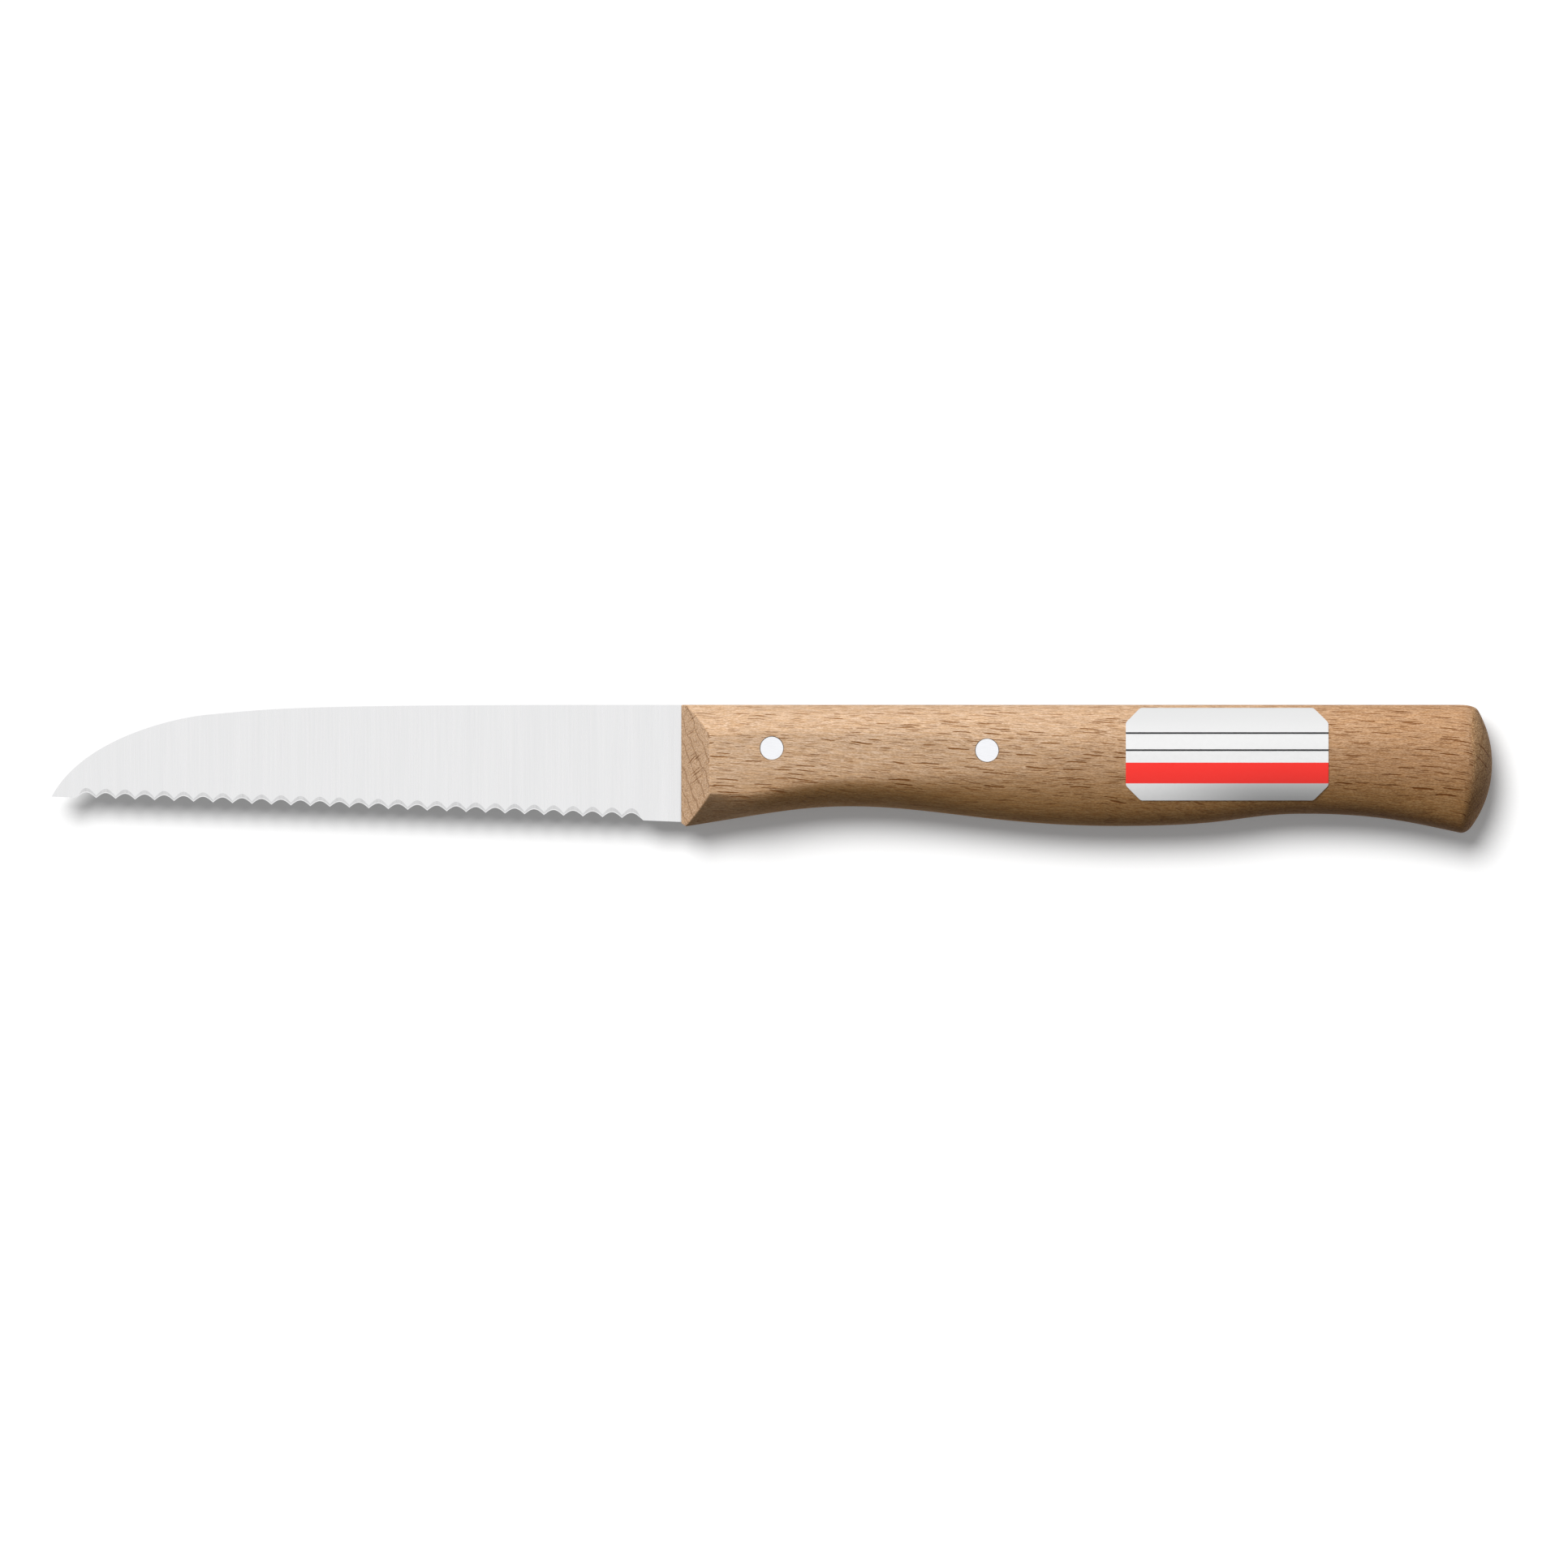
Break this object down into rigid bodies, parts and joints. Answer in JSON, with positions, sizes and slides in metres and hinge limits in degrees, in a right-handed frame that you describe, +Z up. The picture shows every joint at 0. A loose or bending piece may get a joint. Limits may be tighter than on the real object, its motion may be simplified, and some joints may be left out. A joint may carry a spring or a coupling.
{
  "type": "vegetable knife",
  "caption": "Short kitchen knife with a thin wedge-ground steel blade, a scalloped cutting edge and a half tang riveted into a shaped solid wooden handle.",
  "frame": {"origin": "middle of the knife's outline, on the surface that the knife lies on", "axes": "+X from the point of the blade to the butt of the handle, +Y from the cutting edge to the spine, +Z up out of the side with the label"},
  "size_m": [0.1944, 0.0172, 0.0127],
  "materials": {
    "blade_steel": "fine cross-brushed stainless steel",
    "handle_wood": "bare sanded beech",
    "rivet_aluminium": "ground flush, bright",
    "label_paper": "smooth white paper with plain red bands"
  },
  "bodies": {
    "root": {"blade": "blade_steel", "handle": "handle_wood", "front_rivet": "rivet_aluminium", "rear_rivet": "rivet_aluminium", "label": "label_paper"}
  },
  "joints": []
}
